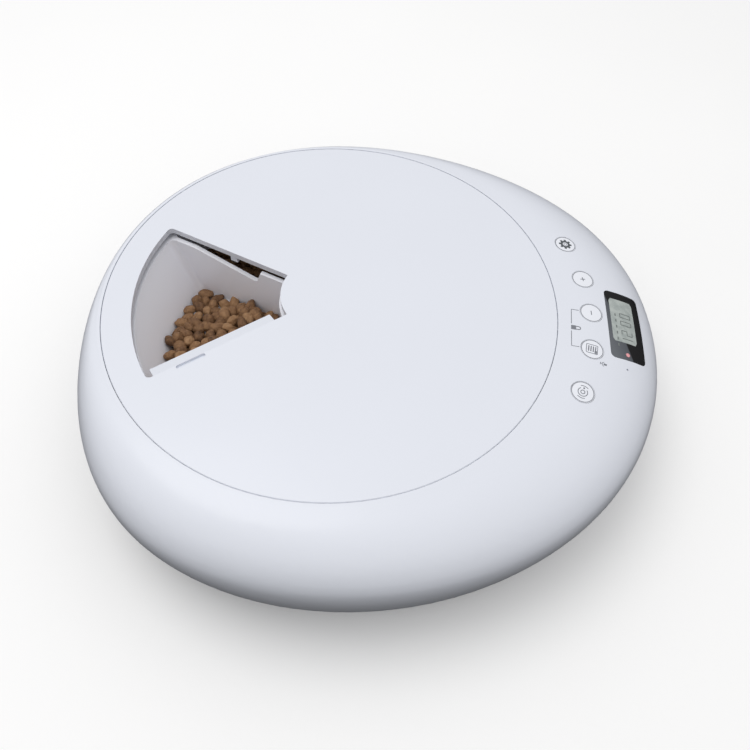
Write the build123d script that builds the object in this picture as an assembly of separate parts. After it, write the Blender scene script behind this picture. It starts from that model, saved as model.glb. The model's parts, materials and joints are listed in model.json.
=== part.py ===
"""Automatic pet feeder with six food compartments under a flush round lid.

Millimetres, +Z up. The origin is on the tray's axis, in the plane the rubber feet stand on.
+X runs from the food opening in the lid towards the control panel.
"""
import math
import os

import numpy as np
from build123d import *

# ---- driving dimensions -------------------------------------------------------------------
LID_TOP_Z = 86.0            # overall height
BASE_Z = 2.0                # underside of the base, above the feet
WIDEST_Z = 60.0             # height at which the body is widest
WALL = 2.5                  # housing skin
CLEAR = 0.3                 # ordinary gap between pieces

# body outline: distance of the tangent line from the tray axis, as a short harmonic sum
BODY_MEAN_R = 173.6
BODY_LOBES = (              # size and direction of each harmonic: shift, oval, three and four lobes
    (29.4, -34.8),
    (7.8, 12.6),
    (2.45, 1.0),
    (2.4, 39.4),
)
BASE_INSET = 26.0           # how far the side wall curves in below
TOP_LAND_R = 140.0          # the flat rim the lid is let into
OUTLINE_POINTS = 24
UPPER_SECTIONS = 7
LOWER_SECTIONS = 6
PARTING_Z = 8.0             # joint between base and housing

# lid and tray well
LID_R = 138.0
LID_THICK = 4.0
LID_SKIN = 2.4
LID_Z = LID_TOP_Z - LID_THICK
LEDGE_GAP = 0.2
WELL_R = 133.0
WELL_FLOOR_Z = 28.0
WELL_WALL = 2.5
WELL_TOP_Z = WELL_FLOOR_Z + WELL_WALL

# food opening in the lid
OPEN_FAR_DEG = 149.9
OPEN_NEAR_DEG = 209.3
OPEN_INNER_R = 31.8
OPEN_OUTER_R = 120.5
OPEN_CORNER_R = 3.0
WIPER_WIDTH = 7.0
WIPER_START_R = 40.0
WIPER_END_R = 116.5
WINDOW_START_R, WINDOW_END_R = 85.5, 103.5
WINDOW_WIDE, WINDOW_DEEP = 2.4, 1.6
POST_R = 74.0               # post under the lid that sweeps through the divider notches
POST_DROP = 6.4
POST_LONG, POST_THICK = 5.0, 2.4

# food tray
COMPARTMENTS = 6
TRAY_PHASE_DEG = 150.4
TRAY_TOP_Z = 78.5
TRAY_RIM_R = 131.0
TRAY_DEPTH = 44.0
TRAY_SKIN = 2.0
POCKET_OUTER_R = 120.0
POCKET_INNER_R = 33.0
POCKET_DRAFT = 17.0         # how much the outer wall comes in at the floor
POCKET_CORNER_R = 4.0
DIVIDER = 3.0
NOTCH_OUTER_R = 102.0
NOTCH_INNER_R = 53.0
NOTCH_DEPTH = 9.0

# drive
SPINDLE_R = 6.0
RUNNING_GAP = 0.05
HUB_TEETH, HUB_MODULE = 60, 1.0
STAGE_TEETH = 15
WHEEL_TEETH, WHEEL_MODULE = 45, 0.8
IDLER_DIR_DEG = -60.0
MOTOR_DIR_DEG = 0.0
MOTOR_R = 12.0
PRESSURE_DEG = 20.0

# control panel
BUTTON_CIRCLE_R = 159.3
BUTTON_ANGLES = {
    "button_settings": 13.7,
    "button_plus": 2.4,
    "button_minus": -7.5,
    "button_schedule": -17.6,
    "button_record": -29.1,
}
BUTTON_R = 7.0
BUTTON_GAP = 0.25
BUTTON_TRAVEL = 0.8
BUTTON_STEM_R = 2.2
FLANGE_WIDER = 1.6          # retaining flange round each cap
DISPLAY_R = 181.0
DISPLAY_DEG = -9.0
DISPLAY_LONG = 52.0
DISPLAY_WIDE = 24.0
DISPLAY_CORNER_R = 3.0
LCD_LONG, LCD_WIDE, LCD_THICK = 34.0, 17.0, 2.8
LCD_AT = (-0.5, 3.3)        # in the window's own frame, outwards and along
LED_AT = (0.0, -22.5)
LED_R = 1.5
MIC_R, MIC_DEG = 181.7, -19.4

# batteries
CELL_R = 13.1
CELL_LENGTH = 49.0
CELL_CIRCLE_R = 154.0
CELL_STEP_DEG = 11.0
CELL_COUNT = 4
BAY_DEG = -20.0             # the batteries stand behind the nose
BAY_INNER_R = 138.5
BAY_OUTER_R = 169.5
BAY_HALF_DEG = 22.5
DOOR_TAB_DEG = 4.0          # the door reaches further at the end that takes its screw
DOOR_END_DEG = 1.0
DOOR_LIP = 2.0
HOLDER_WALL = 1.5
HOLDER_TOP_Z = 60.0

BOARD_THICK = 1.6
BASE_FLOOR = 2.5
FLOOR_TOP_Z = BASE_Z + BASE_FLOOR
SCREW_CIRCLE_R = 112.0
SCREW_COUNT = 6
SCREW_PHASE_DEG = 30.0
SCREW_RECESS = 0.6
FOOT_R = 9.0
FOOT_CIRCLE_R = 124.0       # about the body's middle, clear of the battery door
FOOT_DIRECTIONS = (22, 70, 130, -170, -110, -62)
CENTRE_FOOT_R = 14.0

os.makedirs("parts", exist_ok=True)


def save(shape, node):
    """Write one sub-part to its own STEP file."""
    export_step(shape, f"parts/{node}.step")
    print(f"{node:20s} volume {shape.volume:10.1f}  solids {len(shape.solids())}")


def polar(radius, degrees, z=0.0):
    angle = math.radians(degrees)
    return Vector(radius * math.cos(angle), radius * math.sin(angle), z)


def rod(radius, bottom, top, x=0.0, y=0.0):
    """Upright cylinder between two heights."""
    return Pos(x, y, bottom) * Cylinder(radius, top - bottom, align=(Align.CENTER, Align.CENTER, Align.MIN))


def block(length, width, bottom, top, x=0.0, y=0.0, turn=0.0):
    """Upright box between two heights, turned about its own middle."""
    return (
        Pos(x, y, bottom)
        * Rot(0, 0, turn)
        * Box(length, width, top - bottom, align=(Align.CENTER, Align.CENTER, Align.MIN))
    )


def slab(bottom, top):
    """Everything between two heights."""
    return Pos(0, 0, bottom) * Box(600, 600, top - bottom, align=(Align.CENTER, Align.CENTER, Align.MIN))


def sector(inner, outer, start_deg, end_deg, bottom, top):
    """Upright piece of a ring between two directions."""
    span = end_deg - start_deg
    profile = Plane.XZ * Polygon((inner, bottom), (outer, bottom), (outer, top), (inner, top), align=None)
    return Rot(0, 0, start_deg) * revolve(profile, Axis.Z, span)


def make_screws(places, head_r, head_high, seat_z, point_z, shank_r):
    """Identical screws, each with a cross recess in its head; they point up or down."""
    away = -1 if point_z > seat_z else 1
    face_z = seat_z + away * head_high
    recess_z = face_z - away * SCREW_RECESS
    screws = []
    for place in places:
        screw = rod(head_r, min(seat_z, face_z), max(seat_z, face_z), place.X, place.Y)
        screw += rod(shank_r, min(seat_z, point_z), max(seat_z, point_z), place.X, place.Y)
        for turn in (0, 90):
            screw -= block(head_r * 1.2, head_r * 0.28, min(face_z, recess_z), max(face_z, recess_z),
                           place.X, place.Y, turn)
        screws.append(screw)
    return Compound(children=screws)


# ---- body surface -------------------------------------------------------------------------
def body_support(phi):
    """Distance from the tray axis to the body's tangent line that faces direction phi."""
    support = BODY_MEAN_R
    for lobes, (size, degrees) in enumerate(BODY_LOBES, start=1):
        support = support + size * np.cos(lobes * (phi - math.radians(degrees)))
    return support


def body_support_slope(phi):
    slope = 0.0
    for lobes, (size, degrees) in enumerate(BODY_LOBES, start=1):
        slope = slope - lobes * size * np.sin(lobes * (phi - math.radians(degrees)))
    return slope


def upper_level(bulge, inset):
    """Share of the full overhang, base distance and height for one section above the widest line."""
    return math.sin(bulge), TOP_LAND_R - inset, WIDEST_Z + (LID_TOP_Z - inset - WIDEST_Z) * math.cos(bulge)


def body_section(share, base_r, shrink, z):
    """Closed outline at one height."""
    points = []
    for k in range(OUTLINE_POINTS):
        phi = 2 * math.pi * k / OUTLINE_POINTS
        support = base_r + (body_support(phi) - TOP_LAND_R) * share - shrink
        slope = body_support_slope(phi) * share
        x = support * math.cos(phi) - slope * math.sin(phi)
        y = support * math.sin(phi) + slope * math.cos(phi)
        points.append((x, y, z))
    return Wire(Spline(*points, periodic=True))


def body_solid(inset, bottom_z=None):
    """The body's outer form, or its form offset inwards by inset."""
    if bottom_z is None:
        bottom_z = BASE_Z + inset
    sections = []
    for k in range(UPPER_SECTIONS):
        bulge = math.radians(90) * k / (UPPER_SECTIONS - 1)
        share, base_r, z = upper_level(bulge, inset)
        sections.append(body_section(share, base_r, 0.0, z))
    for k in range(1, LOWER_SECTIONS):
        tuck = math.radians(90) * k / (LOWER_SECTIONS - 1)
        shrink = BASE_INSET * (1 - math.cos(tuck))
        z = WIDEST_Z - (WIDEST_Z - bottom_z) * math.sin(tuck)
        sections.append(body_section(1.0, TOP_LAND_R - inset, shrink, z))
    return Solid.make_loft(sections)


def top_plane(radius, degrees):
    """Plane touching the body's top surface above a plan position, x axis pointing outwards."""
    spot = polar(radius, degrees)
    phis = np.linspace(-math.pi, math.pi, 721)
    low, high = 0.0, math.radians(90)
    for _ in range(40):
        middle = (low + high) / 2
        supports = TOP_LAND_R + (body_support(phis) - TOP_LAND_R) * math.sin(middle)
        excess = spot.X * np.cos(phis) + spot.Y * np.sin(phis) - supports
        if excess.max() > 0:
            low = middle
        else:
            high = middle
    phi = phis[int(np.argmax(excess))]
    z = WIDEST_Z + (LID_TOP_Z - WIDEST_Z) * math.cos(low)
    drop = (LID_TOP_Z - WIDEST_Z) * math.sin(low)
    run = (body_support(phi) - TOP_LAND_R) * math.cos(low)
    slope = drop / run
    normal = Vector(slope * math.cos(phi), slope * math.sin(phi), 1)
    outward = polar(1, degrees)
    along = outward - normal * (outward.dot(normal) / normal.dot(normal))
    return Plane(origin=(spot.X, spot.Y, z), x_dir=along, z_dir=normal)


# ---- shared forms -------------------------------------------------------------------------
outer_body = body_solid(0.0)
inner_body = body_solid(WALL)
display_plane = top_plane(DISPLAY_R, DISPLAY_DEG)
button_planes = {name: top_plane(BUTTON_CIRCLE_R, angle) for name, angle in BUTTON_ANGLES.items()}
mic_plane = top_plane(MIC_R, MIC_DEG)
screw_spots = [polar(SCREW_CIRCLE_R, SCREW_PHASE_DEG + 360 / SCREW_COUNT * k) for k in range(SCREW_COUNT)]
body_middle = polar(*BODY_LOBES[0])
foot_spots = [body_middle + polar(FOOT_CIRCLE_R, degrees) for degrees in FOOT_DIRECTIONS]
door_screw_spot = polar(CELL_CIRCLE_R, BAY_DEG - BAY_HALF_DEG - 2.2)
idler_at = polar((HUB_TEETH + STAGE_TEETH) / 2 * HUB_MODULE, IDLER_DIR_DEG)
motor_at = idler_at + polar((WHEEL_TEETH + STAGE_TEETH) / 2 * WHEEL_MODULE, MOTOR_DIR_DEG)


def opening_outline(grow=0.0):
    """Wedge of the food opening, as a flat sketch with rounded corners."""
    far, near = math.radians(OPEN_FAR_DEG), math.radians(OPEN_NEAR_DEG)
    middle = (far + near) / 2
    inner, outer = OPEN_INNER_R - grow, OPEN_OUTER_R + grow

    def point(radius, angle):
        return (radius * math.cos(angle), radius * math.sin(angle))

    def corner(radius, angle, sign):
        shifted = angle - sign * math.asin(grow / radius)
        return point(radius, shifted)

    start_outer, end_outer = corner(outer, far, 1), corner(outer, near, -1)
    start_inner, end_inner = corner(inner, far, 1), corner(inner, near, -1)
    edges = [
        ThreePointArc(start_outer, point(outer, middle), end_outer),
        Line(end_outer, end_inner),
        ThreePointArc(end_inner, point(inner, middle), start_inner),
        Line(start_inner, start_outer),
    ]
    face = make_face(edges)
    outer_corners = face.vertices().sort_by(lambda v: math.hypot(v.X, v.Y))[-2:]
    return fillet(outer_corners, OPEN_CORNER_R)


# ---- lid ----------------------------------------------------------------------------------
def make_lid():
    lid = rod(LID_R, LID_Z, LID_TOP_Z)
    lid = chamfer(lid.edges().filter_by(GeomType.CIRCLE).sort_by(Axis.Z)[-1], 0.4)
    pockets = Circle(LID_R - 4.5) - Circle(OPEN_INNER_R + 5) - opening_outline(3.0)
    for turn in range(0, 360, 30):
        pockets -= Rot(0, 0, turn) * Rectangle(2 * LID_R, 2.0)
    lid -= Pos(0, 0, LID_Z) * extrude(pockets, LID_THICK - LID_SKIN)
    lid -= Pos(0, 0, LID_Z - 1) * extrude(opening_outline(), LID_THICK + 2)
    post_spot = polar(POST_R, OPEN_FAR_DEG) + polar(3.2, OPEN_FAR_DEG - 90)
    lid += block(POST_LONG, POST_THICK, LID_Z - POST_DROP, LID_Z + 2.0, post_spot.X, post_spot.Y, OPEN_FAR_DEG)
    return lid - wiper_window()


def near_edge_frame(radius, z):
    """Frame on the opening's near edge: x outwards, y into the opening."""
    return Plane(origin=polar(radius, OPEN_NEAR_DEG, z), x_dir=polar(1, OPEN_NEAR_DEG), z_dir=(0, 0, 1))


def wiper_window():
    """Shallow slot in the lid's top face in which the wiper's clip can be seen."""
    length = WINDOW_END_R - WINDOW_START_R
    frame = near_edge_frame((WINDOW_START_R + WINDOW_END_R) / 2, LID_TOP_Z - WINDOW_DEEP)
    slot = extrude(SlotOverall(length, WINDOW_WIDE), WINDOW_DEEP + 1)
    return frame * Pos(0, WINDOW_WIDE / 2 + 0.2, 0) * slot


def make_wiper():
    """Lip along the opening's near edge that levels the food as the tray turns."""
    gap = 0.15
    top, tip_top, tip_low = LID_TOP_Z - 0.5, LID_TOP_Z - 2.2, LID_TOP_Z - 3.4
    root, heel = LID_Z - 2.0, 1.8
    outline = Polygon(
        (gap, root), (heel, root), (heel + 0.4, LID_Z), (WIPER_WIDTH, tip_low),
        (WIPER_WIDTH, tip_top), (gap, top), align=None,
    )
    frame = Plane(
        origin=polar(WIPER_END_R, OPEN_NEAR_DEG),
        x_dir=polar(1, OPEN_NEAR_DEG - 90),
        z_dir=polar(-1, OPEN_NEAR_DEG),
    )
    return frame * extrude(outline, WIPER_END_R - WIPER_START_R)


# ---- food tray ----------------------------------------------------------------------------
SOCKET_FLATS = 24.0
HUB_TOP_Z = 45.0


def tray_pocket():
    """The space of one compartment, centred on +X."""
    top, bottom = TRAY_TOP_Z + 5, TRAY_TOP_Z - TRAY_DEPTH
    outer_top = POCKET_OUTER_R + POCKET_DRAFT * 5 / TRAY_DEPTH
    outline = Polygon(
        (POCKET_INNER_R + 1, bottom), (POCKET_OUTER_R - POCKET_DRAFT, bottom),
        (outer_top, top), (POCKET_INNER_R, top), align=None,
    )
    ring = revolve(Plane.XZ * outline, Axis.Z)
    half = math.radians(180 / COMPARTMENTS)
    tip = DIVIDER / 2 / math.sin(half)
    reach = 150.0
    wedge = Polygon((tip, 0), (reach, -(reach - tip) * math.tan(half)), (reach, (reach - tip) * math.tan(half)),
                    align=None)
    pocket = ring & (Pos(0, 0, bottom - 1) * extrude(wedge, top - bottom + 2))
    upright = pocket.edges().filter_by(lambda e: abs(e.tangent_at(0.5).Z) > 0.7)
    pocket = fillet(upright, POCKET_CORNER_R)
    floor_edges = pocket.faces().sort_by(Axis.Z)[0].edges()
    return fillet(floor_edges, POCKET_CORNER_R - 0.5)


def divider_notch():
    """Ramped cut-out in the top of a divider, which lets the lid's post pass."""
    top, low = TRAY_TOP_Z, TRAY_TOP_Z - NOTCH_DEPTH
    outline = Polygon(
        (NOTCH_OUTER_R, top + 1), (NOTCH_OUTER_R, top), (NOTCH_INNER_R + 4.5, low), (NOTCH_INNER_R + 2.0, low + 0.6),
        (NOTCH_INNER_R - 1.0, top - 0.6), (NOTCH_INNER_R - 1.5, top + 1), align=None,
    )
    return extrude(Plane.XZ * outline, 4, both=True)


def make_tray():
    floor = TRAY_TOP_Z - TRAY_DEPTH
    under = floor - TRAY_SKIN
    column = POCKET_INNER_R - TRAY_SKIN
    outline = Polygon(
        (0, TRAY_TOP_Z), (TRAY_RIM_R, TRAY_TOP_Z), (TRAY_RIM_R, TRAY_TOP_Z - 5), (TRAY_RIM_R - 1.8, TRAY_TOP_Z - 5),
        (TRAY_RIM_R - 1.8, TRAY_TOP_Z - 2), (POCKET_OUTER_R + 1.7, TRAY_TOP_Z - 2),
        (POCKET_OUTER_R - POCKET_DRAFT + TRAY_SKIN, under), (column, under), (column, TRAY_TOP_Z - 2.5),
        (0, TRAY_TOP_Z - 2.5), align=None,
    )
    tray = revolve(Plane.XZ * outline, Axis.Z)
    pocket = tray_pocket()
    notch = divider_notch()
    step = 360 / COMPARTMENTS
    for k in range(COMPARTMENTS):
        tray -= Rot(0, 0, TRAY_PHASE_DEG + step * (k + 0.5)) * pocket
        tray -= Rot(0, 0, TRAY_PHASE_DEG + step * k) * notch
    socket = rod(column + 0.5, HUB_TOP_Z, HUB_TOP_Z + 2) + rod(SOCKET_FLATS / 2 + 4, under, HUB_TOP_Z)
    hexagon = RegularPolygon(SOCKET_FLATS / 2 + 0.2, 6, major_radius=False)
    socket -= Pos(0, 0, under) * extrude(hexagon, HUB_TOP_Z - under)
    return tray + socket


# ---- drive train --------------------------------------------------------------------------
HUB_GEAR_Z = (13.0, 18.4)
SMALL_GEAR_Z = (12.6, 19.4)
WHEEL_Z = (20.6, 24.0)
PINION_Z = (20.2, 24.6)
INDEX_Z = (25.2, 26.2)
BUSH_R = 9.0
BUSH_BOTTOM_Z = 26.8
PIN_R = 1.5
SHAFT_R = 1.0
TAIL_R = 4.0
BACKLASH = 0.22
ADDENDUM, DEDENDUM = 0.85, 1.2


def spur_gear(teeth, module, bottom, top, bore_r, tooth_at_deg):
    """Involute spur gear with one tooth centred on a given direction."""
    pitch_r = teeth * module / 2
    base_r = pitch_r * math.cos(math.radians(PRESSURE_DEG))
    tip_r, root_r = pitch_r + ADDENDUM * module, pitch_r - DEDENDUM * module

    def involute(radius):
        roll = math.acos(min(1.0, base_r / radius))
        return math.tan(roll) - roll

    half_pitch = math.pi / (2 * teeth) - BACKLASH / (2 * pitch_r)

    def half_angle(radius):
        return half_pitch + involute(pitch_r) - involute(max(radius, base_r))

    lowest = max(base_r, root_r)
    radii = [lowest + (tip_r - lowest) * k / 3 for k in range(4)]
    points = []
    for tooth in range(teeth):
        centre = math.radians(tooth_at_deg) + 2 * math.pi * tooth / teeth
        rising = [(root_r, -half_angle(root_r))] if root_r < base_r else []
        rising += [(r, -half_angle(r)) for r in radii]
        falling = [(r, -a) for r, a in reversed(rising)]
        for radius, angle in rising + falling:
            points.append((radius * math.cos(centre + angle), radius * math.sin(centre + angle)))
    face = make_face(Polyline(*points, close=True))
    gear = Pos(0, 0, bottom) * extrude(face, top - bottom)
    return gear - rod(bore_r, bottom - 1, top + 1)


def make_hub_gear():
    gear = spur_gear(HUB_TEETH, HUB_MODULE, *HUB_GEAR_Z, SPINDLE_R, IDLER_DIR_DEG)
    for k in range(6):
        hole = polar(18, 60 * k)
        gear -= rod(5.0, HUB_GEAR_Z[0] - 1, HUB_GEAR_Z[1] + 1, hole.X, hole.Y)
    return gear


def make_idler():
    bore = PIN_R + RUNNING_GAP
    half_step = 180 / STAGE_TEETH
    small = spur_gear(STAGE_TEETH, HUB_MODULE, SMALL_GEAR_Z[0], WHEEL_Z[0], bore, IDLER_DIR_DEG + 180 + half_step)
    wheel = spur_gear(WHEEL_TEETH, WHEEL_MODULE, *WHEEL_Z, bore, MOTOR_DIR_DEG)
    return Pos(idler_at.X, idler_at.Y, 0) * (small + wheel)


def make_pinion():
    half_step = 180 / STAGE_TEETH
    pinion = spur_gear(STAGE_TEETH, WHEEL_MODULE, *PINION_Z, SHAFT_R, MOTOR_DIR_DEG + 180 + half_step)
    return Pos(motor_at.X, motor_at.Y, 0) * pinion


def make_drive_hub():
    floor_gap = WELL_TOP_Z + 0.8
    under = TRAY_TOP_Z - TRAY_DEPTH - TRAY_SKIN
    hub = rod(TAIL_R, FLOOR_TOP_Z + 2.5, 11.4) + rod(SPINDLE_R, 11.4, floor_gap) + rod(21, floor_gap, under)
    hexagon = RegularPolygon(SOCKET_FLATS / 2, 6, major_radius=False)
    return hub + Pos(0, 0, under) * extrude(hexagon, HUB_TOP_Z - under - 0.5)


def make_index_wheel():
    wheel = rod(22, *INDEX_Z) - rod(SPINDLE_R, 20, 30)
    for k in range(COMPARTMENTS):
        wheel -= Rot(0, 0, 60 * k + 30) * block(5, 2, INDEX_Z[0] - 1, INDEX_Z[1] + 1, 20.5)
    return wheel


SENSOR_DEG = 150.0
SENSOR_POST_R = 36.0
SENSOR_BOARD_Z = 19.0


def make_sensor():
    """Optical fork whose slot straddles the index wheel."""
    fork = block(9, 6, 20.6, 27.4, 22.5) - block(8, 8, INDEX_Z[0] - 0.7, INDEX_Z[1] + 0.6, 20.5)
    return Rot(0, 0, SENSOR_DEG) * fork


def make_sensor_board():
    board = block(22, 18, SENSOR_BOARD_Z, SENSOR_BOARD_Z + BOARD_THICK, 29)
    return Rot(0, 0, SENSOR_DEG) * board


def make_motor():
    motor = rod(MOTOR_R, 6.0, 18.0, motor_at.X, motor_at.Y)
    motor = fillet(motor.edges().filter_by(GeomType.CIRCLE), 1.0)
    return motor - rod(SHAFT_R + RUNNING_GAP, 12.0, 19.0, motor_at.X, motor_at.Y)


BRACKET_Z = (18.0, 19.6)
BRACKET_SCREW_R = 1.3
bracket_posts = [motor_at + polar(18.0, MOTOR_DIR_DEG + turn) for turn in (90, -90)]


def make_bracket():
    """Steel plate across the motor's face, carried on two posts of the base."""
    plate = rod(14.0, *BRACKET_Z, motor_at.X, motor_at.Y)
    plate += block(36, 9, *BRACKET_Z, motor_at.X, motor_at.Y, MOTOR_DIR_DEG + 90)
    for post in bracket_posts:
        plate += rod(4.5, *BRACKET_Z, post.X, post.Y)
        plate -= rod(1.6, 17, 21, post.X, post.Y)
    return plate - rod(3.2, 17, 21, motor_at.X, motor_at.Y)


# ---- housing and base ---------------------------------------------------------------------
BOSS_R = 4.0
SCREW_SHANK_R = 1.5
INLET_DEG = 72.0
INLET_Z = 36.0
INLET_R = 6.0


def inlet_frame():
    """Frame at the power socket: z axis level and pointing out of the wall."""
    direction = polar(1, INLET_DEG)
    reach = 140.0
    while outer_body.is_inside(polar(reach, INLET_DEG, INLET_Z)):
        reach += 0.5
    return Plane(origin=polar(reach, INLET_DEG, INLET_Z), x_dir=(0, 0, 1), z_dir=direction)


inlet_plane = inlet_frame()


def display_prism(grow, depth_up, depth_down):
    outline = RectangleRounded(DISPLAY_WIDE + 2 * grow, DISPLAY_LONG + 2 * grow, DISPLAY_CORNER_R + grow)
    return display_plane * Pos(0, 0, -depth_down) * extrude(outline, depth_up + depth_down)


def upright_on(plane, radius, below, above):
    return plane * Pos(0, 0, -below) * Cylinder(radius, below + above, align=(Align.CENTER, Align.CENTER, Align.MIN))


def make_housing():
    hollow = inner_body - rod(LID_R + 3.0, LID_Z - LEDGE_GAP - WALL, LID_TOP_Z)
    hollow -= rod(WELL_R + WELL_WALL, WELL_FLOOR_Z, LID_TOP_Z)
    shell = outer_body - hollow
    shell -= slab(-1, PARTING_Z + CLEAR)
    shell -= rod(WELL_R, WELL_TOP_Z, LID_TOP_Z + 1)
    shell -= rod(LID_R + CLEAR, LID_Z - LEDGE_GAP, LID_TOP_Z + 1)
    shell += rod(BUSH_R + 3, BUSH_BOTTOM_Z, WELL_TOP_Z)
    for spot in screw_spots:
        shell += rod(BOSS_R, 12.0, WELL_FLOOR_Z + 0.5, spot.X, spot.Y)
        shell -= rod(SCREW_SHANK_R + 0.05, 11.0, 26.0, spot.X, spot.Y)
    shell -= rod(BUSH_R, WELL_FLOOR_Z - 4, WELL_TOP_Z + 1)
    for plane in button_planes.values():
        shell -= upright_on(plane, BUTTON_R + BUTTON_GAP, 8, 4)
    shell -= display_prism(0.15, 6, 9)
    shell -= upright_on(mic_plane, 0.7, 8, 4)
    shell -= upright_on(inlet_plane, INLET_R + 0.1, 12, 6)
    return shell


def feet_pockets():
    pockets = rod(CENTRE_FOOT_R + 0.1, 0, BASE_Z + 1.0)
    for spot in foot_spots:
        pockets += rod(FOOT_R + 0.1, 0, BASE_Z + 1.0, spot.X, spot.Y)
    return pockets


def make_feet():
    spots = [(CENTRE_FOOT_R, Vector(0, 0, 0))] + [(FOOT_R, spot) for spot in foot_spots]
    feet = []
    for radius, spot in spots:
        foot = rod(radius, 0, BASE_Z + 1.0, spot.X, spot.Y)
        feet.append(chamfer(foot.edges().filter_by(GeomType.CIRCLE).sort_by(Axis.Z)[0], 0.6))
    return Compound(children=feet)


SPEAKER_AT = polar(86, 105)
SPEAKER_R = 20.0
MAIN_BOARD = (91.0, -5.0, 60.0, 46.0)      # middle x and y, length, width
MAIN_BOARD_Z = 10.0
LIP_GAP = 0.4
LIP_TOP_Z = 13.5
LIP = 1.6


def board_posts():
    x, y, length, width = MAIN_BOARD
    return [Vector(x + sx * (length / 2 - 4), y + sy * (width / 2 - 4)) for sx in (-1, 1) for sy in (-1, 1)]


def make_base():
    hollow = body_solid(WALL + LIP_GAP + LIP, FLOOR_TOP_Z)
    pan = (outer_body & slab(0, PARTING_Z)) - hollow
    lip = (body_solid(WALL + LIP_GAP) & slab(PARTING_Z - 1, LIP_TOP_Z)) - hollow
    base = pan + lip
    base += rod(8, FLOOR_TOP_Z - 1, 11) + rod(4, FLOOR_TOP_Z - 1, 12.2, idler_at.X, idler_at.Y)
    base += rod(MOTOR_R + 2, FLOOR_TOP_Z - 1, 10.0, motor_at.X, motor_at.Y)
    base -= rod(MOTOR_R + 0.1, 5.9, 11.0, motor_at.X, motor_at.Y)
    base -= rod(TAIL_R + RUNNING_GAP, FLOOR_TOP_Z + 2, 12)
    base -= rod(PIN_R, FLOOR_TOP_Z, 13, idler_at.X, idler_at.Y)
    for post in bracket_posts:
        base += rod(4.0, FLOOR_TOP_Z - 1, BRACKET_Z[0], post.X, post.Y)
        base -= rod(BRACKET_SCREW_R + 0.05, 8, 20, post.X, post.Y)
    for post in board_posts():
        base += rod(3.0, FLOOR_TOP_Z - 1, MAIN_BOARD_Z, post.X, post.Y)
    sensor_post = polar(SENSOR_POST_R, SENSOR_DEG)
    base += rod(3.0, FLOOR_TOP_Z - 1, SENSOR_BOARD_Z, sensor_post.X, sensor_post.Y)
    for spot in screw_spots:
        base += rod(BOSS_R + 1.2, FLOOR_TOP_Z - 1, 11.8, spot.X, spot.Y)
        base -= rod(SCREW_SHANK_R + 0.3, 1, 13, spot.X, spot.Y)
        base -= rod(3.6, 1, 6.0, spot.X, spot.Y)
    base += rod(SPEAKER_R + 2, FLOOR_TOP_Z - 1, 7.5, SPEAKER_AT.X, SPEAKER_AT.Y)
    base -= rod(SPEAKER_R + 0.1, FLOOR_TOP_Z, 8.5, SPEAKER_AT.X, SPEAKER_AT.Y)
    for k in range(-3, 4):
        length = 2 * math.sqrt(15.5**2 - (4.2 * k) ** 2)
        base -= block(length, 1.8, 1, 6, SPEAKER_AT.X, SPEAKER_AT.Y + 4.2 * k)
    base -= sector(BAY_INNER_R, BAY_OUTER_R, BAY_DEG - BAY_HALF_DEG, BAY_DEG + BAY_HALF_DEG, 1, 6)
    recess_edge = DOOR_LIP + 0.2
    base -= sector(BAY_INNER_R - recess_edge, BAY_OUTER_R + recess_edge, BAY_DEG - BAY_HALF_DEG - DOOR_TAB_DEG,
                   BAY_DEG + BAY_HALF_DEG + DOOR_END_DEG, 1, BASE_Z + 1.6)
    base += rod(3.4, FLOOR_TOP_Z - 0.5, 11, door_screw_spot.X, door_screw_spot.Y)
    base -= rod(1.25, 1, 10.2, door_screw_spot.X, door_screw_spot.Y)
    return base - feet_pockets()


# ---- batteries ----------------------------------------------------------------------------
def cell_spots():
    first = -(CELL_COUNT - 1) / 2
    return [polar(CELL_CIRCLE_R, BAY_DEG + CELL_STEP_DEG * (first + k)) for k in range(CELL_COUNT)]


def make_cells():
    cells = []
    for k, spot in enumerate(cell_spots()):
        low, high = 7.5, 7.5 + CELL_LENGTH
        can = fillet(rod(CELL_R, low, high).edges().filter_by(GeomType.CIRCLE), 0.8)
        nub = rod(3.3, high - 0.5, high + 1.4) if k % 2 == 0 else rod(3.3, low - 1.4, low + 0.5)
        cells.append(Pos(spot.X, spot.Y, 0) * (can + nub))
    return Compound(children=cells)


def make_holder():
    """Box that the cells stand in, open below."""
    low, high = BAY_DEG - BAY_HALF_DEG, BAY_DEG + BAY_HALF_DEG
    edge = 0.7
    holder = sector(BAY_INNER_R - HOLDER_WALL, BAY_OUTER_R + HOLDER_WALL, low - edge, high + edge, FLOOR_TOP_Z,
                    HOLDER_TOP_Z)
    holder -= sector(BAY_INNER_R, BAY_OUTER_R, low, high, FLOOR_TOP_Z - 1, HOLDER_TOP_Z - HOLDER_WALL)
    for turn in (-1, 0, 1):
        rib = block(BAY_OUTER_R - BAY_INNER_R + 1, 1.2, 12, HOLDER_TOP_Z - 2.6, (BAY_OUTER_R + BAY_INNER_R) / 2)
        holder += Rot(0, 0, BAY_DEG + CELL_STEP_DEG * turn) * rib
    for spot in cell_spots():
        holder -= rod(CELL_R + CLEAR, 6, HOLDER_TOP_Z - HOLDER_WALL, spot.X, spot.Y)
    return holder & body_solid(WALL + LIP_GAP + LIP + CLEAR, FLOOR_TOP_Z)


def contact_strips(spots, bottom, top):
    """Nickel strips, each joining a pair of neighbouring cells."""
    strips = []
    for first, second in spots:
        middle, gap = (first + second) / 2, second - first
        turn = math.degrees(math.atan2(gap.Y, gap.X))
        strips.append(block(gap.length + 9, 9, bottom, top, middle.X, middle.Y, turn))
    return Compound(children=strips)


def make_top_contacts():
    cells = cell_spots()
    return contact_strips([(cells[0], cells[1]), (cells[2], cells[3])], HOLDER_TOP_Z - 2.1, HOLDER_TOP_Z - 1.5)


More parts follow.
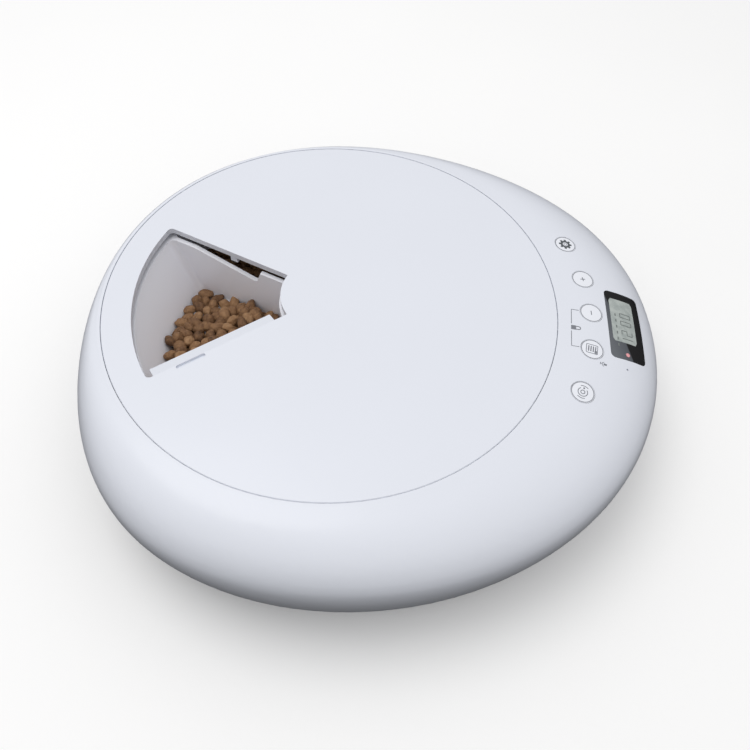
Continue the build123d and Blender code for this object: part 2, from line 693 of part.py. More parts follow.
def make_door():
    low, high = BAY_DEG - BAY_HALF_DEG - DOOR_TAB_DEG + 0.15, BAY_DEG + BAY_HALF_DEG + DOOR_END_DEG - 0.15
    plate = sector(BAY_INNER_R - DOOR_LIP, BAY_OUTER_R + DOOR_LIP, low, high, BASE_Z, BASE_Z + 1.5)
    plate += sector(BAY_INNER_R + 0.3, BAY_OUTER_R - 0.3, BAY_DEG - BAY_HALF_DEG + 0.2, BAY_DEG + BAY_HALF_DEG - 0.2,
                    BASE_Z + 1.0, BASE_Z + 3.2)
    hole = door_screw_spot
    plate -= rod(1.6, 1, 6, hole.X, hole.Y) + rod(3.0, 1, BASE_Z + 0.9, hole.X, hole.Y)
    for k in range(3):
        plate -= sector(CELL_CIRCLE_R - 8, CELL_CIRCLE_R + 8, high - 3.6 + k, high - 3.2 + k, 1, BASE_Z + 0.6)
    return plate


def make_door_contacts():
    cells = cell_spots()
    pairs = [(cells[0], cells[0] + polar(0.5, 0)), (cells[1], cells[2]), (cells[3], cells[3] + polar(0.5, 0))]
    return contact_strips(pairs, BASE_Z + 3.2, BASE_Z + 3.8)


# ---- control panel ------------------------------------------------------------------------
PANEL_BOARD_Z = 69.0
MAT_Z = PANEL_BOARD_Z + BOARD_THICK
DOME_TOP = 3.6              # height of a pressed dome above the board
DOME_GAP = 0.8
PANEL_START_DEG, PANEL_END_DEG = -36.0, 22.0


def make_button(plane):
    """Cap flush with the housing, with a retaining flange under the skin and a stem."""
    cap = outer_body & upright_on(plane, BUTTON_R, WALL + 2.0, 4)
    flange = upright_on(plane, BUTTON_R + FLANGE_WIDER, WALL + 2.3, -(WALL + 1.1))
    stem_length = (plane.origin.Z - MAT_Z - DOME_TOP - BUTTON_TRAVEL - DOME_GAP) / plane.z_dir.Z
    return cap + flange + upright_on(plane, BUTTON_STEM_R, stem_length, -WALL)


def make_mat():
    """Rubber mat with one dome under every button, drawn pressed."""
    mat = sector(150, 169.5, PANEL_START_DEG + 1, PANEL_END_DEG - 1, MAT_Z + 0.1, MAT_Z + 1.5)
    for plane in button_planes.values():
        foot = plane.origin - plane.z_dir * ((plane.origin.Z - MAT_Z) / plane.z_dir.Z)
        dome = Cone(4.5, 2.6, DOME_TOP - 1.0, align=(Align.CENTER, Align.CENTER, Align.MIN))
        mat += Pos(foot.X, foot.Y, MAT_Z + 1.0) * dome
    return mat


def make_panel_board():
    return sector(143.5, 172.0, PANEL_START_DEG, PANEL_END_DEG, PANEL_BOARD_Z, PANEL_BOARD_Z + BOARD_THICK)


def make_window():
    return (outer_body & display_prism(0.0, 6, 9)) - body_solid(2.0)


def make_lcd():
    glass = Box(LCD_WIDE, LCD_LONG, LCD_THICK, align=(Align.CENTER, Align.CENTER, Align.MAX))
    return display_plane * Pos(*LCD_AT, -4.2) * glass


def make_led():
    led = Cylinder(LED_R, 4.0, align=(Align.CENTER, Align.CENTER, Align.MAX))
    return display_plane * Pos(*LED_AT, -3.4) * led


def make_microphone():
    return upright_on(mic_plane, 3.0, WALL + 3.2, -(WALL + 0.5))


def make_inlet():
    """Barrel socket with a centre pin, let into the rear wall."""
    body = upright_on(inlet_plane, INLET_R, 11, 0.6)
    body -= upright_on(inlet_plane, 3.1, 9, 2)
    return body + upright_on(inlet_plane, 1.0, 10, -1.0)


def make_speaker():
    x, y = SPEAKER_AT.X, SPEAKER_AT.Y
    speaker = rod(SPEAKER_R, FLOOR_TOP_Z, FLOOR_TOP_Z + 2.6, x, y) + rod(15, FLOOR_TOP_Z + 2, FLOOR_TOP_Z + 5, x, y)
    speaker += rod(9, FLOOR_TOP_Z + 4, FLOOR_TOP_Z + 9, x, y)
    return speaker - rod(17.5, FLOOR_TOP_Z - 1, FLOOR_TOP_Z + 0.8, x, y)


def make_main_board():
    x, y, length, width = MAIN_BOARD
    return block(length, width, MAIN_BOARD_Z, MAIN_BOARD_Z + BOARD_THICK, x, y)


def make_chips():
    x, y, length, width = MAIN_BOARD
    top = MAIN_BOARD_Z + BOARD_THICK
    chips = [
        block(12, 12, top, top + 1.6, x - 8, y + 4),
        block(8, 6, top, top + 1.5, x + 12, y - 8),
        block(14, 6, top, top + 7.5, x - 18, y - 17),
        block(6, 14, top, top + 7.5, x + 26, y + 8),
        rod(3.2, top, top + 8.0, x + 14, y + 14),
    ]
    return Compound(children=chips)


# ---- build and save -----------------------------------------------------------------------
save(make_housing(), "upper_housing")
save(make_base(), "base_pan")
save(make_lid(), "lid")
save(make_wiper(), "food_wiper")
save(make_tray(), "food_tray")
save(make_drive_hub(), "drive_hub")
save(make_hub_gear(), "hub_gear")
save(make_index_wheel(), "index_wheel")
save(rod(BUSH_R, BUSH_BOTTOM_Z, WELL_TOP_Z + 0.4) - rod(SPINDLE_R + RUNNING_GAP, 20, 40), "hub_bush")
save(make_idler(), "idler_gear")
save(rod(PIN_R, FLOOR_TOP_Z, 25.5, idler_at.X, idler_at.Y), "idler_pin")
save(make_pinion(), "motor_pinion")
save(rod(SHAFT_R, 12.5, PINION_Z[1] + 0.5, motor_at.X, motor_at.Y), "motor_shaft")
save(make_motor(), "motor")
save(make_bracket(), "motor_bracket")
save(make_sensor(), "position_sensor")
save(make_sensor_board(), "sensor_board")
save(make_main_board(), "main_board")
save(make_chips(), "board_components")
save(make_panel_board(), "panel_board")
save(make_mat(), "key_mat")
for name, plane in button_planes.items():
    save(make_button(plane), name)
save(make_window(), "display_window")
save(make_lcd(), "lcd_module")
save(make_led(), "status_led")
save(make_microphone(), "microphone")
save(make_speaker(), "speaker")
save(make_inlet(), "power_inlet")
save(make_holder(), "battery_holder")
save(make_cells(), "battery_cells")
save(make_top_contacts(), "battery_contacts")
save(make_door_contacts(), "door_contacts")
save(make_door(), "battery_door")
save(make_screws([door_screw_spot], 2.8, 0.8, BASE_Z + 0.9, 9.5, 1.2), "door_screw")
save(make_screws(screw_spots, 3.3, 2.4, 6.0, 24.0, SCREW_SHANK_R), "case_screws")
save(make_screws(bracket_posts, 2.8, 1.6, BRACKET_Z[1], 10.0, BRACKET_SCREW_R), "bracket_screws")
save(make_feet(), "rubber_feet")
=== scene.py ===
"""Looks of the automatic pet feeder: finishes, printed symbols, display picture, dry food, studio."""

import json
import math
import random

import bmesh
import bpy
from mathutils import Matrix, Vector, noise
from mathutils.bvhtree import BVHTree


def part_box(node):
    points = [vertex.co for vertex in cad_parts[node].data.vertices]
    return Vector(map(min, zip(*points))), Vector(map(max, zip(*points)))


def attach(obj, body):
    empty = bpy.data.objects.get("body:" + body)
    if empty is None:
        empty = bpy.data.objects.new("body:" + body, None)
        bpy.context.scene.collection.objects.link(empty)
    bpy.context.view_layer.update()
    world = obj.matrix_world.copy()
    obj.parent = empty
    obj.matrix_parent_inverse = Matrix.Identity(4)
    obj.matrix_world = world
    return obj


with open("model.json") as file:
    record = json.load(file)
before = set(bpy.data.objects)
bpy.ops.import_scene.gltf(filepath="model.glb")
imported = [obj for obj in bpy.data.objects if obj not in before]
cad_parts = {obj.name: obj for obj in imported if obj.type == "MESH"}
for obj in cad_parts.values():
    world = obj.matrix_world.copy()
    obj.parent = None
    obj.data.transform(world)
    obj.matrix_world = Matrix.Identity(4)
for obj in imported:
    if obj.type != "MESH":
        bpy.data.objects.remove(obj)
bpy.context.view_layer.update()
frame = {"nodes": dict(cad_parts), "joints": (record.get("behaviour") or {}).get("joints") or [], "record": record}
nodes = frame["nodes"]
record = frame["record"]

MM = 0.001
LID_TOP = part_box("lid")[1].z
UP = Vector((0, 0, 1))
trees = {}


# ---- materials ----------------------------------------------------------------------------
def new_material(name):
    """Principled material with empty inputs; returns it with its node tree and shader."""
    made = bpy.data.materials.new(name)
    made.use_nodes = True
    tree = made.node_tree
    tree.nodes.clear()
    shader = tree.nodes.new("ShaderNodeBsdfPrincipled")
    output = tree.nodes.new("ShaderNodeOutputMaterial")
    tree.links.new(shader.outputs["BSDF"], output.inputs["Surface"])
    return made, tree, shader


def noise_node(tree, scale, detail=3.0):
    """Noise over the object's own coordinates, in cycles per metre."""
    place = tree.nodes.new("ShaderNodeTexCoord")
    texture = tree.nodes.new("ShaderNodeTexNoise")
    texture.inputs["Scale"].default_value = scale
    texture.inputs["Detail"].default_value = detail
    tree.links.new(place.outputs["Object"], texture.inputs["Vector"])
    return texture.outputs["Fac"]


def ramp(tree, value, stops):
    """Colour ramp; stops are (position, colour)."""
    node = tree.nodes.new("ShaderNodeValToRGB")
    elements = node.color_ramp.elements
    while len(elements) < len(stops):
        elements.new(0.5)
    for element, (position, colour) in zip(elements, stops):
        element.position = position
        element.color = (*colour, 1.0)
    tree.links.new(value, node.inputs["Fac"])
    return node.outputs["Color"]


def spread(tree, value, low, high):
    """The value from 0 to 1 mapped to a range."""
    node = tree.nodes.new("ShaderNodeMapRange")
    node.inputs["To Min"].default_value = low
    node.inputs["To Max"].default_value = high
    tree.links.new(value, node.inputs["Value"])
    return node.outputs["Result"]


def bump(tree, shader, value, distance, strength=1.0):
    node = tree.nodes.new("ShaderNodeBump")
    node.inputs["Strength"].default_value = strength
    node.inputs["Distance"].default_value = distance
    tree.links.new(value, node.inputs["Height"])
    tree.links.new(node.outputs["Normal"], shader.inputs["Normal"])


def shaded(colour, factor):
    return tuple(channel * factor for channel in colour)


COAT_ROUGHNESS = 0.12
SOFT_REACH = 4 * MM           # how far light wanders inside a soft or milky material


def surface(name, colour, rough, grain, grain_height, drift=0.03, metallic=0.0, coat=0.0, soft=0.0):
    """Moulded, turned or rubber surface: slow colour drift, fine grain in height and roughness."""
    made, tree, shader = new_material(name)
    slow = noise_node(tree, 14.0)
    fine = noise_node(tree, grain, 4.0)
    stops = [(0.3, shaded(colour, 1 - drift)), (0.7, shaded(colour, 1 + drift))]
    tree.links.new(ramp(tree, slow, stops), shader.inputs["Base Color"])
    tree.links.new(spread(tree, fine, rough * 0.85, rough * 1.15), shader.inputs["Roughness"])
    bump(tree, shader, fine, grain_height)
    shader.inputs["Metallic"].default_value = metallic
    shader.inputs["Coat Weight"].default_value = coat
    shader.inputs["Coat Roughness"].default_value = COAT_ROUGHNESS
    shader.inputs["Subsurface Weight"].default_value = soft
    shader.inputs["Subsurface Radius"].default_value = (SOFT_REACH, SOFT_REACH, SOFT_REACH)
    return made


# painted sheen: along this slope the lens colour steps from black to grey and pale grey, a painted reflection of
# light
SHEEN_RISE = Vector((-49.5, -6.6, 0.0))    # per metre across the lens
SHEEN_SHIFT = 0.285
SMOKE_BLACK = (0.004, 0.004, 0.005)
PAINTED_SHEEN_GREY = (0.085, 0.092, 0.107)
PAINTED_SHEEN_PALE = (0.13, 0.14, 0.155)


def lens_material():
    """Smoked lens with a painted reflection: a paler sheet of light painted across one side."""
    made, tree, shader = new_material("smoked_lens_painted_sheen")
    low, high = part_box("display_window")
    middle = (low + high) / 2
    place = tree.nodes.new("ShaderNodeTexCoord")
    offset = tree.nodes.new("ShaderNodeVectorMath")
    offset.operation = "SUBTRACT"
    offset.inputs[1].default_value = middle
    along = tree.nodes.new("ShaderNodeVectorMath")
    along.operation = "DOT_PRODUCT"
    along.inputs[1].default_value = SHEEN_RISE
    tree.links.new(place.outputs["Object"], offset.inputs[0])
    tree.links.new(offset.outputs["Vector"], along.inputs[0])
    shifted = tree.nodes.new("ShaderNodeMath")
    shifted.operation = "ADD"
    shifted.inputs[1].default_value = SHEEN_SHIFT
    tree.links.new(along.outputs["Value"], shifted.inputs[0])
    # black is the smoked tint; the grey and pale stops are painted reflection
    stops = [(0.0, SMOKE_BLACK), (0.48, SMOKE_BLACK), (0.52, PAINTED_SHEEN_GREY), (1.0, PAINTED_SHEEN_PALE)]
    tree.links.new(ramp(tree, shifted.outputs["Value"], stops), shader.inputs["Base Color"])
    fine = noise_node(tree, 900.0)
    tree.links.new(spread(tree, fine, 0.08, 0.14), shader.inputs["Roughness"])
    shader.inputs["Specular IOR Level"].default_value = 0.2
    return made


def lcd_material():
    """Grey-green liquid crystal glass, slightly mottled."""
    made, tree, shader = new_material("lcd_face")
    fine = noise_node(tree, 260.0)
    stops = [(0.3, (0.33, 0.37, 0.36)), (0.7, (0.46, 0.50, 0.48))]
    tree.links.new(ramp(tree, fine, stops), shader.inputs["Base Color"])
    tree.links.new(spread(tree, fine, 0.2, 0.35), shader.inputs["Roughness"])
    return made


SHADE_MIX = 0.55              # share of the noise added to each piece's own shade
PORE_DEPTH = 1.1 * MM


def food_material():
    """Baked dry food: brown with darker pores and dusty high spots."""
    made, tree, shader = new_material("dry_food")
    shade = tree.nodes.new("ShaderNodeAttribute")
    shade.attribute_name = "nugget_shade"
    mix = tree.nodes.new("ShaderNodeMath")
    mix.operation = "MULTIPLY_ADD"
    mix.inputs[1].default_value = SHADE_MIX
    tree.links.new(noise_node(tree, 420.0, 5.0), mix.inputs[0])
    tree.links.new(shade.outputs["Fac"], mix.inputs[2])
    stops = [
        (0.18, (0.05, 0.022, 0.009)),
        (0.36, (0.17, 0.083, 0.034)),
        (0.58, (0.31, 0.165, 0.075)),
        (0.9, (0.50, 0.30, 0.155)),
    ]
    tree.links.new(ramp(tree, mix.outputs["Value"], stops), shader.inputs["Base Color"])
    pores = noise_node(tree, 1300.0, 6.0)
    tree.links.new(spread(tree, pores, 0.55, 0.8), shader.inputs["Roughness"])
    bump(tree, shader, pores, PORE_DEPTH)
    return made


BLUE_WHITE = (0.755, 0.78, 0.85)
finishes = {
    "white_gloss": surface("white_gloss", BLUE_WHITE, 0.34, 700.0, 0.00001, 0.006, coat=0.12),
    "white_tray": surface("white_tray", (0.90, 0.905, 0.96), 0.38, 700.0, 0.00001, 0.01, coat=0.1),
    "white_matte": surface("white_matte", (0.72, 0.74, 0.80), 0.55, 1500.0, 0.00003, 0.02),
    "button_white": surface("button_white", (0.83, 0.85, 0.91), 0.42, 900.0, 0.00001, 0.008),
    "black_rubber": surface("black_rubber", (0.025, 0.025, 0.028), 0.8, 1400.0, 0.00008, 0.15),
    "grey_rubber": surface("grey_rubber", (0.30, 0.31, 0.33), 0.7, 1100.0, 0.00005, 0.08, soft=0.05),
    "window_black": lens_material(),
    "lcd_glass": surface("lcd_glass", (0.20, 0.25, 0.22), 0.15, 500.0, 0.000005, 0.05),
    "led_red": surface("led_red", (0.55, 0.05, 0.06), 0.25, 600.0, 0.00001, 0.05, soft=0.3),
    "acetal": surface("acetal", (0.74, 0.74, 0.70), 0.4, 900.0, 0.00001, 0.02, soft=0.05),
    "steel": surface("steel", (0.58, 0.59, 0.61), 0.32, 1600.0, 0.00002, 0.05, metallic=1.0),
    "brass": surface("brass", (0.70, 0.50, 0.22), 0.3, 1600.0, 0.00002, 0.05, metallic=1.0),
    "board_green": surface("board_green", (0.02, 0.14, 0.06), 0.35, 1200.0, 0.00003, 0.15),
    "black_plastic": surface("black_plastic", (0.02, 0.02, 0.022), 0.45, 1300.0, 0.00003, 0.12),
    "cell_wrap": surface("cell_wrap", (0.05, 0.06, 0.09), 0.3, 700.0, 0.00002, 0.1, coat=0.3),
}
slot_of = {part["node"]: part["material_slot"] for part in record["subparts"]}
for node_name, node in nodes.items():
    node.data.materials.clear()
    node.data.materials.append(finishes[slot_of[node_name]])

# grey print ink; the same grey also paints the gap shade ring round each key
print_and_gap_shade_grey = surface("print_and_gap_shade_grey", (0.20, 0.21, 0.24), 0.5, 1800.0, 0.00001, 0.08)
print_dark = surface("print_dark", (0.075, 0.085, 0.095), 0.5, 1800.0, 0.00001, 0.08)
lamp_pink = surface("lamp_pink", (0.85, 0.38, 0.40), 0.3, 900.0, 0.00001, 0.06, soft=0.2)
segment_dark = surface("segment_dark", (0.17, 0.19, 0.185), 0.3, 900.0, 0.000005, 0.1)


# ---- thin prints that lie on the curved surface -------------------------------------------
class Print:
    """Collects raised film shapes, in millimetres of a plane, laid onto the surface of one CAD node."""

    LIFT = 0.06 * MM
    SINK = 0.05 * MM
    REACH = 12 * MM
    LINE_STEP = 1.2
    ARC_STEP_DEG = 10
    RING_OVERLAP = 1.02

    def __init__(self, name, origin, normal, outward, target, lift=None):
        self.mesh = bmesh.new()
        self.name = name
        self.normal = normal.normalized()
        self.across = (outward - self.normal * outward.dot(self.normal)).normalized()
        self.along = self.normal.cross(self.across)
        self.origin = origin
        self.lift = self.LIFT if lift is None else lift
        self.tree = surface_tree(target)

    def pair(self, x, y):
        """Upper and lower vertex of the film over one point of the plane."""
        start = self.origin + (self.across * x + self.along * y) * MM + self.normal * self.REACH
        hit = self.tree.ray_cast(start, -self.normal, 2 * self.REACH)[0]
        if hit is None:
            hit = start - self.normal * self.REACH
        upper = self.mesh.verts.new(hit + self.normal * self.lift)
        lower = self.mesh.verts.new(hit - self.normal * self.SINK)
        return upper, lower

    def quad(self, *corners):
        if len(set(corners)) == 4:
            self.mesh.faces.new(corners)

    def stroke(self, points, width, closed=False):
        """Ribbon of one width along a line of points."""
        count = len(points)
        rails = []
        for k, (x, y) in enumerate(points):
            before = points[(k - 1) % count] if closed or k else points[k]
            after = points[(k + 1) % count] if closed or k < count - 1 else points[k]
            length = math.hypot(after[0] - before[0], after[1] - before[1])
            side_x = -(after[1] - before[1]) / length * width / 2
            side_y = (after[0] - before[0]) / length * width / 2
            rails.append((*self.pair(x + side_x, y + side_y), *self.pair(x - side_x, y - side_y)))
        steps = count if closed else count - 1
        for k in range(steps):
            a, b = rails[k], rails[(k + 1) % count]
            self.quad(a[0], a[2], b[2], b[0])
            self.quad(a[1], b[1], b[3], a[3])
            self.quad(a[0], b[0], b[1], a[1])
            self.quad(a[2], a[3], b[3], b[2])
        if not closed:
            for end in (rails[0], rails[-1]):
                self.quad(end[0], end[1], end[3], end[2])

    def line(self, start, end, width):
        """Straight ribbon, cut into short steps so that it follows the surface."""
        length = math.hypot(end[0] - start[0], end[1] - start[1])
        steps = max(1, math.ceil(length / self.LINE_STEP))
        points = []
        for k in range(steps + 1):
            share = k / steps
            x = start[0] + (end[0] - start[0]) * share
            y = start[1] + (end[1] - start[1]) * share
            points.append((x, y))
        self.stroke(points, width)

    def arc(self, centre, radius, start_deg, end_deg, width):
        full = abs(end_deg - start_deg) >= 360
        steps = max(6, math.ceil(abs(end_deg - start_deg) / self.ARC_STEP_DEG))
        points = []
        for k in range(steps if full else steps + 1):
            angle = math.radians(start_deg + (end_deg - start_deg) * k / steps)
            points.append((centre[0] + radius * math.cos(angle), centre[1] + radius * math.sin(angle)))
        self.stroke(points, width, closed=full)

    def sheet(self, half_wide, half_long, centre, columns=8, rows=16, corner=1.2):
        """Filled rectangle with rounded corners."""
        grid = []
        for j in range(rows + 1):
            y = half_long * (2 * j / rows - 1)
            over = max(0.0, abs(y) - (half_long - corner))
            half = half_wide - corner + math.sqrt(max(corner * corner - over * over, 0.0))
            row = []
            for i in range(columns + 1):
                row.append(self.pair(centre[0] + half * (2 * i / columns - 1), centre[1] + y))
            grid.append(row)
        self.fill(grid)

    def fill(self, grid):
        """Closed film from a grid of vertex pairs."""
        rows, columns = len(grid) - 1, len(grid[0]) - 1
        for j in range(rows):
            for i in range(columns):
                a, b, c, d = grid[j][i], grid[j][i + 1], grid[j + 1][i + 1], grid[j + 1][i]
                self.quad(a[0], b[0], c[0], d[0])
                self.quad(a[1], d[1], c[1], b[1])
        rim = [grid[0][i] for i in range(columns)] + [grid[j][columns] for j in range(rows)]
        rim += [grid[rows][i] for i in range(columns, 0, -1)] + [grid[j][0] for j in range(rows, 0, -1)]
        for k, a in enumerate(rim):
            b = rim[(k + 1) % len(rim)]
            self.quad(a[0], a[1], b[1], b[0])

    def disc(self, centre, radius, rings=3):
        """Filled circle."""
        for ring in range(rings):
            middle = radius * (ring + 0.5) / rings
            self.arc(centre, middle, 0, 360, radius / rings * self.RING_OVERLAP)

    def finish(self, material, body):
        bmesh.ops.recalc_face_normals(self.mesh, faces=self.mesh.faces)
        data = bpy.data.meshes.new(self.name)
        self.mesh.to_mesh(data)
        self.mesh.free()
        data.materials.append(material)
        piece = bpy.data.objects.new(self.name, data)
        bpy.context.scene.collection.objects.link(piece)
        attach(piece, body)
        return piece


def surface_tree(name):
    """Ray-casting tree over the mesh of one CAD node."""
    if name not in trees:
        mesh = nodes[name].data
        points = [vertex.co.copy() for vertex in mesh.vertices]
        faces = [list(face.vertices) for face in mesh.polygons]
        trees[name] = BVHTree.FromPolygons(points, faces)
    return trees[name]


# ---- key symbols --------------------------------------------------------------------------
FLANGE_DEPTH = 4.2 * MM       # the keys' widest part lies this far under the surface
# the ring round each key is painted gap shade: a grey line where the gap between key and housing lies in shadow
KEY_GAP_SHADE_R = 6.55
KEY_GAP_SHADE_WIDTH = 0.42
LINE = 0.55


def gear_symbol(film):
    film.arc((0, 0), 2.5, 0, 360, 1.5)
    film.arc((0, 0), 1.0, 0, 360, 0.3)
    for k in range(8):
        angle = math.radians(45 * k + 22.5)
        direction = (math.cos(angle), math.sin(angle))
        film.line((direction[0] * 3.0, direction[1] * 3.0), (direction[0] * 4.3, direction[1] * 4.3), 1.5)


def plus_symbol(film):
    film.line((-1.6, 0), (1.6, 0), LINE)
    film.line((0, -1.6), (0, 1.6), LINE)


def minus_symbol(film):
    film.line((-1.6, 0), (1.6, 0), LINE)


def list_symbol(film):
    film.arc((-2.0, 2.6), 1.0, 90, 180, 0.4)
    film.line((-3.0, 2.6), (-3.0, -3.2), 0.4)
    film.line((-2.0, 3.6), (3.2, 3.6), 0.4)
    film.line((3.2, 3.6), (3.2, -3.2), 0.4)
    film.line((-3.0, -3.2), (3.2, -3.2), 0.4)
    for k in range(4):
        film.line((-1.8, 2.2 - 1.4 * k), (2.2, 2.2 - 1.4 * k), 0.7)
    film.line((-2.6, -2.2), (-0.6, -2.2), 1.4)


def voice_symbol(film):
    film.arc((0, 0), 1.2, 0, 360, 0.5)
    film.arc((0, 0), 2.8, 40, 320, 0.45)
    for side in (-1, 1):
        film.arc((0, 0), 4.2, 90 * (1 - side) - 32, 90 * (1 - side) + 32, 0.45)
    film.line((2.2, 0.0), (3.3, 0.0), 0.9)


KEYS = {
    "button_settings": (gear_symbol, print_dark, 0.0),
    "button_plus": (plus_symbol, print_and_gap_shade_grey, 0.0),
    "button_minus": (minus_symbol, print_and_gap_shade_grey, 90.0),
    "button_schedule": (list_symbol, print_and_gap_shade_grey, 90.0),
    "button_record": (voice_symbol, print_and_gap_shade_grey, 90.0),
}
press_axis = {joint["child"]: Vector(joint["axis"]) for joint in frame["joints"]}


def turned(vector, axis, degrees):
    return Matrix.Rotation(math.radians(degrees), 3, axis) @ vector


def key_frame(key):
    """Point on the cap's face, its normal and the direction away from the lid."""
    low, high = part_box(key)
    normal = -press_axis[key + "_key"].normalized()
    middle = (low + high) / 2
    origin = Vector((middle.x + normal.x * FLANGE_DEPTH, middle.y + normal.y * FLANGE_DEPTH, high.z))
    outward = Vector((middle.x, middle.y, 0)).normalized()
    return origin, normal, outward


def add_key_prints():
    for key, (symbol, ink, turn) in KEYS.items():
        origin, normal, outward = key_frame(key)
        # painted gap shade: a grey ring on the key stands in for the shadow in the gap round it
        ring = Print(key + "_gap_shade_ring", origin, normal, outward, key)
        ring.arc((0, 0), KEY_GAP_SHADE_R, 0, 360, KEY_GAP_SHADE_WIDTH)
        ring.finish(print_and_gap_shade_grey, key + "_key")
        film = Print(key + "_symbol", origin, normal, turned(outward, normal, turn), key)
        symbol(film)
        film.finish(ink, key + "_key")


BRACKET_STEM = -12.4          # towards the lid, from the line between the two keys
BRACKET_END = -7.8
BRACKET_GAP = 2.8
BRACKET_LINE = 0.4
LOCK_BACK, LOCK_FRONT, LOCK_WIDTH = -12.6, -9.6, 3.2
SHACKLE_END, SHACKLE_R, SHACKLE_LINE = -8.0, 1.1, 0.6


def add_lock_bracket():
    """Printed line that joins two keys round a small padlock: hold both to lock the panel."""
    first, second = key_frame("button_minus"), key_frame("button_schedule")
    origin = (first[0] + second[0]) / 2
    normal = (first[1] + second[1]).normalized()
    outward = Vector((origin.x, origin.y, 0)).normalized()
    film = Print("lock_bracket", origin, normal, outward, "upper_housing")
    half = (first[0] - second[0]).length / 2 / MM
    for side in (-1, 1):
        film.line((BRACKET_STEM, side * BRACKET_GAP), (BRACKET_STEM, side * half), BRACKET_LINE)
        film.line((BRACKET_STEM, side * half), (BRACKET_END, side * half), BRACKET_LINE)
    film.line((LOCK_BACK, 0), (LOCK_FRONT, 0), LOCK_WIDTH)
    for side in (1, -1):
        film.line((LOCK_FRONT, side * SHACKLE_R), (SHACKLE_END, side * SHACKLE_R), SHACKLE_LINE)
    film.arc((SHACKLE_END, 0), SHACKLE_R, -90, 90, SHACKLE_LINE)
    film.finish(print_and_gap_shade_grey, "feeder_body")


# ---- display ------------------------------------------------------------------------------
READING = "1200"
SEGMENTS = {"0": "abcdef", "1": "bc", "2": "abged"}
SEGMENT_LINES = {
    "a": ((-1, 2), (1, 2)), "b": ((1, 0), (1, 2)), "c": ((1, -2), (1, 0)), "d": ((-1, -2), (1, -2)),
    "e": ((-1, -2), (-1, 0)), "f": ((-1, 0), (-1, 2)), "g": ((-1, 0), (1, 0)),
}


SEGMENT_SCALE = (1.5, 1.8)
SEGMENT_WIDTH = 0.6
DIGIT_START, DIGIT_PITCH, DIGIT_ROW = -12.0, 6.0, -1.2
COLON_X, COLON_ROOM, COLON_WIDTH = -0.3, 1.4, 0.7
COLON_DOTS = ((0.2, 0.9), (-2.6, -1.9))
DASH_COUNT, DASH_PITCH, DASH_ROW, DASH_WIDTH = 6, 4.6, 5.6, 0.8
DASH_START, DASH_END = -17.0, -15.0
LCD_HALF_WIDE, LCD_HALF_LONG, LCD_MIDDLE = 8.2, 16.8, (-0.6, 3.3)
READING_LIFT = 0.1 * MM
LAMP_LIFT = 0.12 * MM
LAMP_MIDDLE, LAMP_R = (0.0, -22.2), 1.3


def window_frame():
    """Point on the display window, the surface's normal there and the outward direction."""
    low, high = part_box("display_window")
    middle = (low + high) / 2
    tree = surface_tree("display_window")
    hit, normal, _, _ = tree.ray_cast(Vector((middle.x, middle.y, high.z + 0.05)), -UP)
    return hit, normal, Vector((middle.x, middle.y, 0)).normalized()


def add_display():
    origin, normal, outward = window_frame()
    glass = Print("lcd_face", origin, normal, outward, "display_window")
    glass.sheet(LCD_HALF_WIDE, LCD_HALF_LONG, LCD_MIDDLE)
    glass.finish(lcd_material(), "feeder_body")

    along = -outward.cross(normal)
    reading = Print("lcd_reading", origin, normal, along, "display_window", lift=READING_LIFT)
    for k, digit in enumerate(READING):
        centre = (DIGIT_START + DIGIT_PITCH * k + (COLON_ROOM if k > 1 else 0.0), DIGIT_ROW)
        for segment in SEGMENTS[digit]:
            ends = []
            for point in SEGMENT_LINES[segment]:
                x = centre[0] + point[0] * SEGMENT_SCALE[0]
                y = centre[1] + point[1] * SEGMENT_SCALE[1]
                ends.append((x, y))
            reading.line(*ends, SEGMENT_WIDTH)
    for low, high in COLON_DOTS:
        reading.line((COLON_X, low), (COLON_X, high), COLON_WIDTH)
    for k in range(DASH_COUNT):
        start = DASH_START + DASH_PITCH * k
        end = DASH_END + DASH_PITCH * k
        reading.line((start, DASH_ROW), (end, DASH_ROW), DASH_WIDTH)
    reading.finish(segment_dark, "feeder_body")

    lamp = Print("indicator_lens", origin, normal, outward, "display_window", lift=LAMP_LIFT)
    lamp.disc(LAMP_MIDDLE, LAMP_R)
    lamp.finish(lamp_pink, "feeder_body")


MARK_INWARD = 12.5 * MM       # from the microphone's hole
MARK_ASIDE = 3.0 * MM


def add_microphone_mark():
    """Generic sound mark beside the microphone's hole."""
    low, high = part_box("microphone")
    middle = (low + high) / 2
    outward = Vector((middle.x, middle.y, 0)).normalized()
    aside = outward.cross(UP) * MARK_ASIDE
    origin = Vector((middle.x, middle.y, high.z)) - outward * MARK_INWARD + aside
    tree = surface_tree("upper_housing")
    hit, normal, _, _ = tree.ray_cast(Vector((origin.x, origin.y, LID_TOP)), -UP)
    film = Print("microphone_mark", hit, normal, outward, "upper_housing")
    film.line((-1.0, 0), (1.0, 0), 1.3)
    film.arc((-0.4, 0), 1.5, 100, 260, 0.35)
    film.line((-1.9, 0), (-3.0, 0), 0.35)
    film.line((-3.0, -0.9), (-3.0, 0.9), 0.35)
    film.finish(print_and_gap_shade_grey, "feeder_body")


